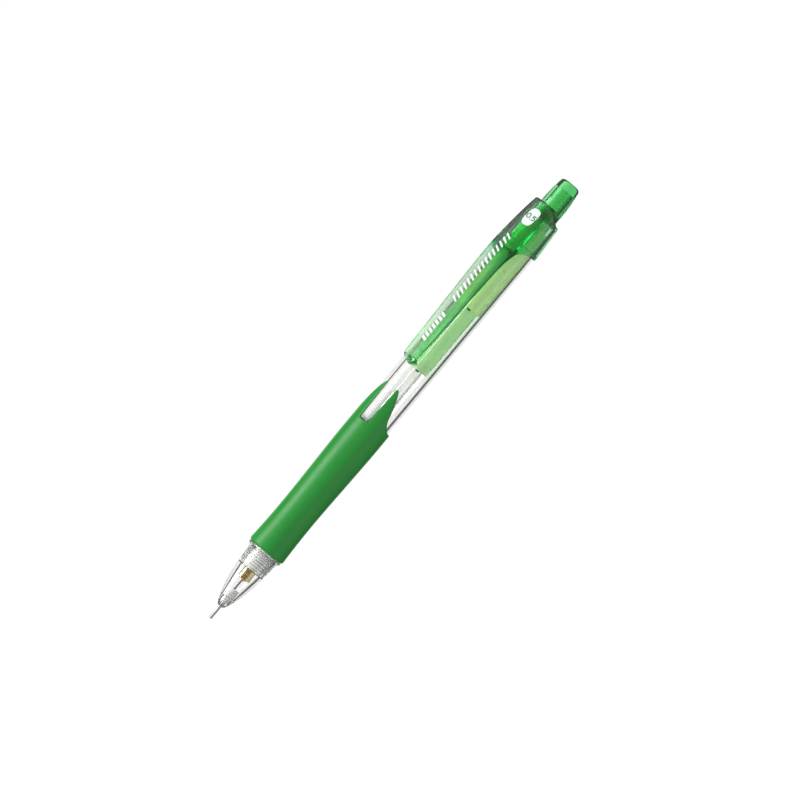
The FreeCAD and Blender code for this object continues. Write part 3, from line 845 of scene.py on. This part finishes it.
class Finish:
    """A node material being put together."""

    def __init__(self, name):
        self.material = bpy.data.materials.new(name)
        self.material.use_nodes = True
        self.tree = self.material.node_tree
        self.surface = self.tree.nodes["Principled BSDF"]
        self.output = self.tree.nodes["Material Output"]
        self.place = self.node("TexCoord").outputs["Object"]

    def node(self, kind, inputs=None, **settings):
        return add_node(self.tree, kind, inputs or {}, **settings)

    def set(self, **values):
        """Fills the surface's inputs, named in small letters with underscores."""
        for name, value in values.items():
            socket = name.replace("_", " ").title().replace("Ior", "IOR")
            fill(self.tree, self.surface.inputs[socket], value)
        return self

    def noise(self, scale, detail=4.0, rough=0.5):
        """Soft noise, whose scale is given per axis in patterns per millimetre."""
        place = self.stretched(scale)
        inputs = {"Vector": place, "Scale": 1.0, "Detail": detail, "Roughness": rough}
        return self.node("TexNoise", inputs).outputs["Fac"]

    def stretched(self, scale):
        """The place scaled per axis, in patterns per millimetre."""
        inputs = {"Vector": self.place, "Scale": [share / MM for share in scale]}
        return self.node("Mapping", inputs).outputs["Vector"]

    def ranged(self, value, low, high, start=0.3, end=0.7):
        """Low where the value is up to start, high from end on, and even between."""
        inputs = {"Value": value, "From Min": start, "From Max": end, "To Min": low, "To Max": high}
        return self.node("MapRange", inputs).outputs["Result"]

    def mixed(self, value, first, second, start=0.3, end=0.7):
        """The first colour where the value is up to start, the second from end on."""
        inputs = {"Factor": self.ranged(value, 0, 1, start, end), 6: first, 7: second}
        return self.node("Mix", inputs, data_type="RGBA").outputs[2]

    def scaled(self, colour, share):
        """The colour times a share."""
        inputs = {0: colour, "Scale": share}
        return self.node("VectorMath", inputs, operation="SCALE").outputs["Vector"]

    def bump(self, value, depth):
        """Raises the surface by up to depth millimetres where the value is 1."""
        normal = self.surface.inputs["Normal"]
        node = self.node("Bump", {"Strength": 1.0, "Distance": depth * MM, "Height": value})
        if normal.is_linked:
            fill(self.tree, node.inputs["Normal"], normal.links[0].from_socket)
        fill(self.tree, normal, node.outputs["Normal"])
        return self

    def math(self, operation, first, second=0.0):
        return self.node("Math", {0: first, 1: second}, operation=operation).outputs["Value"]

    def times(self, first, second):
        return self.math("MULTIPLY", first, second)

    def at(self, axis):
        """The place along one axis, in metres."""
        return self.node("SeparateXYZ", {"Vector": self.place}).outputs[axis]

    def from_axis(self):
        """The distance from the pencil's axis, in metres."""
        squares = [self.times(part, part) for part in (self.at("Y"), self.at("Z"))]
        return self.math("SQRT", self.math("ADD", *squares))

    def up_in_picture(self):
        """How far the place lies towards the clip's side as the camera sees it, in metres."""
        return self.math("ADD", self.times(self.at("Y"), UP_IN_PICTURE.y),
                         self.times(self.at("Z"), UP_IN_PICTURE.z))

    def rings(self, pitch):
        """Bands across the pencil, from nought to one and back in each pitch millimetres."""
        turns = self.times(self.at("X"), 2 * math.pi / (pitch * MM))
        return self.ranged(self.math("SINE", turns), 0, 1, -1, 1)

    def facing(self):
        """Nought where a surface faces the viewer, one where it is seen edge on."""
        return self.node("LayerWeight").outputs["Facing"]

    def between(self, axis, low, high, soft=0.15):
        """One where the place lies between low and high on an axis, in millimetres."""
        at = self.at(axis)
        start = self.ranged(at, 0, 1, (low - soft) * MM, (low + soft) * MM)
        stop = self.ranged(at, 1, 0, (high - soft) * MM, (high + soft) * MM)
        return self.times(start, stop)

    def lathe_lines(self, pitch, depth):
        """Fine rings left by turning, along x."""
        inputs = {"Vector": self.stretched((1, 0.15, 0.15)), "Scale": 1 / (pitch * 2 * math.pi),
                  "Distortion": 0.6, "Detail": 1.0}
        wave = self.node("TexWave", inputs, bands_direction="X")
        return self.bump(wave.outputs["Fac"], depth)

    def tinted(self, clear_share):
        """Colours the inside: the share of red, green and blue left after one millimetre."""
        loss = [-math.log(share) / MM for share in clear_share]
        density = max(loss) * 1.02
        inputs = {"Color": [1 - part / density for part in loss], "Density": density}
        volume = self.node("VolumeAbsorption", inputs).outputs["Volume"]
        fill(self.tree, self.output.inputs["Volume"], volume)
        return self

    def clear_where(self, share, colour):
        """Where share is one, light goes straight through and takes the colour."""
        clear = self.node("BsdfTransparent", {"Color": colour}).outputs["BSDF"]
        inputs = {"Fac": share, 1: self.surface.outputs["BSDF"], 2: clear}
        both = self.node("MixShader", inputs).outputs["Shader"]
        fill(self.tree, self.output.inputs["Surface"], both)
        return self

    def lets_light_in(self, colour):
        """Lamps shine through as if straight, since bent lamp light isn't traced."""
        return self.clear_where(self.node("LightPath").outputs["Is Shadow Ray"], colour)


def clear_plastic():
    """Water-clear moulding: faint flow marks, very fine handling scratches, a frosted patch
    on the rib between the grip's prongs, and matt rings in the threads. Light and shade are
    painted in too: darker bands at the thread's pitch for painted shade in the thread root, a
    painted green reflection of the clip on the rib's side, and a painted pale green glow just
    below the tank as the camera sees it."""
    m = Finish("clear_plastic")
    flow = m.noise((0.12, 0.5, 0.5), 2)
    scratch = m.noise((0.6, 9, 9), 3, 0.6)
    patch_start, patch_end = span("grip")[1] - 12, CAP_START - 0.4
    patch = m.times(m.between("X", patch_start, patch_end), m.between("Z", 5.12, 6, 0.06))
    frost = m.times(patch, m.ranged(m.noise((5, 5, 5), 3), 0.2, 0.42))
    plain = m.mixed(flow, (0.985, 0.988, 0.98), (0.955, 0.965, 0.95))
    # painted reflection: the clip's green laid on the clear rib's side next to it
    painted_clip_reflection = m.times(m.between("X", patch_end + 0.8, COLLAR_FRONT + 0.4, 0.4),
                          m.between("Z", 4.68, 5.36, 0.05))
    tone = m.mixed(painted_clip_reflection, plain, (0.62, 0.93, 0.60), 0, 1)
    # painted glow: pale green on the clear barrel just below the tank, placed by where it lies in the
    # camera's picture
    painted_tank_glow = m.times(m.between("X", span("lead_tank")[0], COLLAR_FRONT - 2.6),
                         m.ranged(m.up_in_picture(), 1, 0, -3.1 * MM, -2.7 * MM))
    tone = m.mixed(painted_tank_glow, tone, (0.88, 0.965, 0.87), 0, 1)
    cone_back, thread_reach = span("tip_cone")[1], 3.62
    threads = m.times(m.between("X", cone_back - 5.5, cone_back - 0.3),
                      m.math("LESS_THAN", m.from_axis(), thread_reach * MM))
    # painted shade: darker bands at the thread's pitch, standing for shade in the thread root
    painted_root_shade = m.mixed(m.rings(THREAD_PITCH), (0.62, 0.63, 0.62), plain, 0, 0.5)
    tone = m.mixed(threads, tone, painted_root_shade, 0, 1)
    gloss = m.math("ADD", m.ranged(scratch, 0.015, 0.06), frost)
    m.set(base_color=m.mixed(patch, tone, (0.86, 0.87, 0.86), 0, 1), ior=1.5,
          roughness=m.math("ADD", gloss, m.times(threads, 0.05)),
          transmission_weight=m.math("SUBTRACT", m.ranged(patch, 1.0, 0.82, 0, 1),
                                     m.times(threads, 0.1)))
    m.bump(flow, 0.008).bump(scratch, 0.0006)
    return m.lets_light_in((0.95, 0.96, 0.955)).material


def green_plastic():
    """Green translucent moulding, with light and shade painted into its colour: the arm
    has painted shade along the edge away from the light and towards its root, and is paler
    towards the light; the collar has painted shade under the clip and painted light round the
    barrel's end."""
    m = Finish("green_plastic")
    flow = m.noise((0.15, 0.6, 0.6), 3)
    scratch = m.noise((0.7, 8, 8), 3, 0.6)
    # painted shade and light on the arm: darker along the edge away from the light, paler towards it,
    # darkest near its root
    tip = m.mixed(m.at("Y"), (0.20, 0.54, 0.25), (0.60, 0.80, 0.56), -2.6 * MM, 1.6 * MM)
    root = m.mixed(m.at("Y"), (0.03, 0.22, 0.06), (0.36, 0.47, 0.33), -2.8 * MM, -0.6 * MM)
    arm = m.mixed(m.at("X"), tip, root, (CAP_START + 8) * MM, (CAP_START + 26) * MM)
    # painted light: the collar's wall paler round the barrel's end; painted shade: deep green on its top
    # under the clip
    pale = m.mixed(m.at("X"), (0.45, 0.92, 0.68), (0.97, 1.0, 0.98),
                   (COLLAR_FRONT + 0.5) * MM, (COLLAR_FRONT + 0.9) * MM)
    collar = m.mixed(m.at("Z"), pale, (0.06, 0.45, 0.27), 4.6 * MM, 5.2 * MM)
    body = m.mixed(m.at("X"), arm, collar, (ARM_ROOT + 0.2) * MM, (COLLAR_FRONT - 1.6) * MM)
    m.set(base_color=m.mixed(flow, body, m.scaled(body, 0.94)),
          roughness=m.ranged(scratch, 0.02, 0.08), transmission_weight=1.0, ior=1.5)
    m.bump(flow, 0.012).bump(scratch, 0.0008)
    m.tinted((0.66, 0.91, 0.72))
    return m.lets_light_in((0.74, 0.91, 0.76)).material


def knob_plastic():
    """The knob's own batch of green: each surface tints, so the hollow part looks deeper.
    Painted shade darkens its bottom edge and a painted highlight brightens its upper side.
    """
    m = Finish("knob_plastic")
    flow = m.noise((0.3, 0.6, 0.6), 3)
    scratch = m.noise((0.7, 8, 8), 3, 0.6)
    # painted shade towards the knob's bottom edge and painted highlight towards its upper side
    painted_low_shade = m.mixed(m.at("Y"), (0.04, 0.34, 0.10), (0.07, 0.54, 0.16), -3.4 * MM, -2.6 * MM)
    side = m.mixed(m.at("Y"), painted_low_shade, (0.38, 0.92, 0.48), -1.6 * MM, 0.5 * MM)
    m.set(base_color=m.mixed(flow, side, m.scaled(side, 0.88)), roughness=m.ranged(scratch, 0.03, 0.1),
          transmission_weight=1.0, ior=1.5, coat_weight=0.25, coat_roughness=0.34)
    m.bump(flow, 0.006).bump(scratch, 0.0006)
    m.tinted((0.88, 0.98, 0.9))
    return m.lets_light_in((0.4, 0.8, 0.45)).material


def cloudy(name, scale, light, dark, **more):
    """A translucent moulding with soft clouds in its colour, and the clouds themselves."""
    m = Finish(name)
    cloud = m.noise(scale, 3)
    m.set(base_color=m.mixed(cloud, light, dark), **more)
    return m, cloud


def green_tank():
    """Pale green tube, milky, so that it glows where light passes through."""
    m, cloud = cloudy("green_tank", (0.1, 0.4, 0.4), (0.66, 0.85, 0.54), (0.57, 0.80, 0.47),
                      transmission_weight=0.6, ior=1.5)
    m.set(roughness=m.ranged(cloud, 0.32, 0.42))
    m.bump(m.noise((0.25, 0.9, 0.9), 2), 0.0015)
    return m.lets_light_in((0.6, 0.85, 0.55)).material


def lime_plastic():
    """Yellow-green bush."""
    m, cloud = cloudy("lime_plastic", (0.1, 0.4, 0.4), (0.86, 0.98, 0.60), (0.79, 0.93, 0.53),
                      transmission_weight=0.58, ior=1.5)
    m.set(roughness=m.ranged(cloud, 0.26, 0.32))
    return m.lets_light_in((0.75, 0.9, 0.65)).material


def natural_plastic():
    """Unpigmented tube."""
    m, cloud = cloudy("natural_plastic", (0.15, 0.6, 0.6), (0.96, 0.96, 0.94), (0.91, 0.92, 0.90),
                      transmission_weight=0.9, ior=1.48)
    m.set(roughness=m.ranged(cloud, 0.24, 0.34))
    m.bump(m.noise((0.3, 1.2, 1.2), 2), 0.0015)
    return m.lets_light_in((0.8, 0.82, 0.81)).material


def pale_plastic():
    """The slider's moulding, nearly opaque."""
    m, _ = cloudy("pale_plastic", (0.3, 0.8, 0.8), (0.84, 0.84, 0.82), (0.76, 0.76, 0.74),
                  transmission_weight=0.4, ior=1.48)
    grain = m.noise((4, 4, 4), 3)
    m.set(roughness=m.ranged(grain, 0.3, 0.45))
    return m.bump(grain, 0.004).material


def seat_plastic():
    """The seat's moulding lets more light through than the slider's."""
    m, _ = cloudy("seat_plastic", (0.3, 0.8, 0.8), (0.94, 0.94, 0.92), (0.87, 0.87, 0.85),
                  transmission_weight=0.6, ior=1.48)
    grain = m.noise((4, 4, 4), 3)
    m.set(roughness=m.ranged(grain, 0.06, 0.14))
    m.bump(grain, 0.001)
    return m.lets_light_in((0.8, 0.8, 0.78)).material


def steel():
    """Drawn steel: fine turning lines and a slightly uneven polish."""
    m = Finish("steel")
    patch = m.noise((0.6, 3, 3), 4)
    m.set(base_color=m.mixed(patch, (0.46, 0.46, 0.47), (0.34, 0.34, 0.36)),
          roughness=m.ranged(patch, 0.18, 0.34), metallic=1.0)
    m.lathe_lines(0.2, 0.0012)
    return m.material


def brass():
    m = Finish("brass")
    patch = m.noise((0.8, 2, 2), 4)
    # painted reflection: dark where the brass faces the viewer and pale at grazing, like a dark side
    # towards the camera and the white room mirrored in it
    tone = m.mixed(m.facing(), (0.33, 0.21, 0.04), (1.0, 0.84, 0.50), 0.03, 0.3)
    m.set(base_color=m.mixed(patch, tone, m.scaled(tone, 0.8)),
          roughness=m.ranged(patch, 0.09, 0.2), metallic=1.0)
    m.lathe_lines(0.12, 0.003)
    return m.material


def grained(name, scale, detail, light, dark, gloss, depth, rough=0.5, **more):
    """An opaque finish whose colour, gloss and height all follow one fine grain."""
    m = Finish(name)
    grain = m.noise(scale, detail, rough)
    m.set(base_color=m.mixed(grain, light, dark), roughness=m.ranged(grain, *gloss), **more)
    return m.bump(grain, depth).material


def graphite():
    return grained("graphite", (6, 20, 20), 4, (0.06, 0.06, 0.065), (0.13, 0.13, 0.14),
                   (0.28, 0.5), 0.003, metallic=0.35)


def dark_rubber():
    return grained("dark_rubber", (8, 8, 8), 4, (0.018, 0.018, 0.018), (0.04, 0.04, 0.04),
                   (0.6, 0.8), 0.004)


def eraser_white():
    return grained("eraser_white", (4, 4, 4), 5, (0.86, 0.88, 0.86), (0.78, 0.80, 0.78),
                   (0.55, 0.75), 0.01, rough=0.6)


def white_ink():
    """Pad-printed ink with a slightly uneven film."""
    return grained("white_ink", (5, 5, 5), 4, (0.88, 0.91, 0.89), (0.78, 0.83, 0.80),
                   (0.35, 0.5), 0.002)


def green_ink():
    return grained("green_ink", (5, 5, 5), 4, (0.01, 0.16, 0.04), (0.015, 0.20, 0.05),
                   (0.3, 0.45), 0.002)


def dark_green():
    return grained("dark_green", (5, 5, 5), 4, (0.002, 0.014, 0.003), (0.003, 0.022, 0.005),
                   (0.35, 0.5), 0.002)


def green_rubber():
    """Matte silicone grip: fine skin grain, soft sheen, slightly polished by fingers."""
    m = Finish("green_rubber")
    tone = m.noise((0.06, 0.25, 0.25), 3)
    skin = m.noise((9, 9, 9), 5, 0.6)
    rub = m.noise((0.15, 0.5, 0.5), 3)
    m.set(base_color=m.mixed(tone, (0.006, 0.262, 0.023), (0.004, 0.237, 0.019)),
          roughness=m.ranged(rub, 0.38, 0.46))
    return m.bump(skin, 0.006).material


# ---- studio

def card_level(tree, outward):
    """How bright the surroundings are: a white card stands behind the object as the
    camera sees it, and the room round the card is darker, which draws clear edges."""
    forward = add_node(tree, "VectorTransform", {0: CARD_MIDDLE.normalized()},
                       vector_type="VECTOR", convert_from="CAMERA", convert_to="WORLD")
    aim = add_node(tree, "VectorMath", {0: forward.outputs[0], 1: outward}, operation="DOT_PRODUCT")
    ramp = add_node(tree, "ValToRGB", {"Fac": aim.outputs["Value"]})
    stops = ramp.color_ramp.elements
    while len(stops) < len(ROOM):
        stops.new(0.5)
    for stop, (cosine, level) in zip(stops, ROOM):
        stop.position = cosine
        stop.color = (level, level, level, 1)
    return ramp.outputs["Color"]


def seen_white(tree, colour, white):
    """White where the camera looks straight at it, the given colour for other light."""
    straight = add_node(tree, "LightPath", {}).outputs["Is Camera Ray"]
    inputs = {"Factor": straight, 6: colour, 7: (white, white, white)}
    return add_node(tree, "Mix", inputs, data_type="RGBA").outputs[2]


def point(thing, place, right, up, toward):
    """Puts a thing at a place, with its own axes along three directions."""
    turn = Matrix((right, up, toward)).transposed().to_4x4()
    thing.matrix_world = Matrix.Translation(place) @ turn


def build_camera():
    """Long lens, high on the side away from +Y, with the pencil's tip down to the left."""
    roll, distance = math.radians(50.2), 1.1517
    toward = Vector((0, -math.sin(CAMERA_TILT), math.cos(CAMERA_TILT)))
    along = Vector((1, 0, 0))
    right = along * math.cos(roll) - UP_IN_PICTURE * math.sin(roll)
    up = along * math.sin(roll) + UP_IN_PICTURE * math.cos(roll)
    target = Vector((0.073, 0, 0)) + right * 0.00246 + up * 0.00041
    lens = bpy.data.cameras.new("camera")
    lens.lens, lens.sensor_width = 200, 36
    lens.clip_start, lens.clip_end = 0.05, 20
    camera = in_scene("camera", lens)
    point(camera, target + toward * distance, right, up, toward)
    bpy.context.scene.camera = camera


def build_room():
    world = bpy.data.worlds.new("studio")
    bpy.context.scene.world = world
    world.use_nodes = True
    tree = world.node_tree
    level = card_level(tree, add_node(tree, "TexCoord", {}).outputs["Generated"])
    fill(tree, tree.nodes["Background"].inputs["Color"], seen_white(tree, level, 1.0))


def build_floor():
    """A pale floor just under the pencil, which is clear when looked at from below."""
    low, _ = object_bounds()
    half, gap = 3.0, 0.0002
    mesh = bpy.data.meshes.new("floor")
    corners = [(-half, -half, 0), (half, -half, 0), (half, half, 0), (-half, half, 0)]
    mesh.from_pydata(corners, [], [(0, 1, 2, 3)])
    floor = in_scene("floor", mesh)
    floor.location = (0, 0, low.z - gap)
    m = Finish("floor_white")
    place = m.node("NewGeometry")
    outward = m.scaled(place.outputs["Incoming"], -1)
    m.set(base_color=(0.0, 0.0, 0.0), roughness=1.0, specular_ior_level=0.0,
          emission_color=seen_white(m.tree, card_level(m.tree, outward), 1.02),
          emission_strength=1.0)
    m.clear_where(place.outputs["Backfacing"], (1, 1, 1))
    floor.data.materials.append(m.material)


def softbox(name, direction, middle, length, width, power):
    """A long lamp over the pencil, its middle at a place along x, facing the x axis."""
    distance = 0.6
    light = bpy.data.lights.new(name, "AREA")
    light.shape = "RECTANGLE"
    light.size, light.size_y = length, width
    light.energy = power
    along = Vector((1, 0, 0))
    toward = Vector(direction).normalized()
    place = along * middle + toward * distance
    point(in_scene(name, light), place, along, toward.cross(along).normalized(), toward)


def build_studio():
    scene = bpy.context.scene
    scene.view_settings.view_transform = "Standard"
    scene.cycles.max_bounces = 24
    scene.cycles.transmission_bounces = 24
    scene.cycles.transparent_max_bounces = 32
    build_camera()
    build_room()
    build_floor()
    above = (0, 0.669, 0.743)
    softbox("key", above, -0.066, 0.59, 0.26, 3.4)
    softbox("tail", above, 0.43, 0.35, 0.26, 0.6)
    softbox("fill", (0, -1, 0.12), -0.106, 0.542, 0.12, 0.2)


# ---- everything

MAKERS = {
    build_cone: clear_plastic, build_sleeve: steel, build_slider: pale_plastic,
    build_retainer: dark_rubber, build_lead: graphite, build_ring: brass,
    build_seat: seat_plastic, build_tube: natural_plastic, build_tank: green_tank,
    build_bush: lime_plastic, build_knob: knob_plastic, build_holder: natural_plastic,
    build_eraser: eraser_white, build_barrel: clear_plastic, build_grip: green_rubber,
    build_cap: green_plastic, build_chuck: brass, build_spring: steel,
    build_clip_print: white_ink, build_badge: white_ink, build_numeral: green_ink,
    build_rib_marks: clear_plastic, build_tank_nub: dark_green, build_bush_nub: dark_green,
}


def main():
    finishes = {make: make() for make in dict.fromkeys(MAKERS.values())}
    for build, make in MAKERS.items():
        build().data.materials.append(finishes[make])
    build_studio()


main()
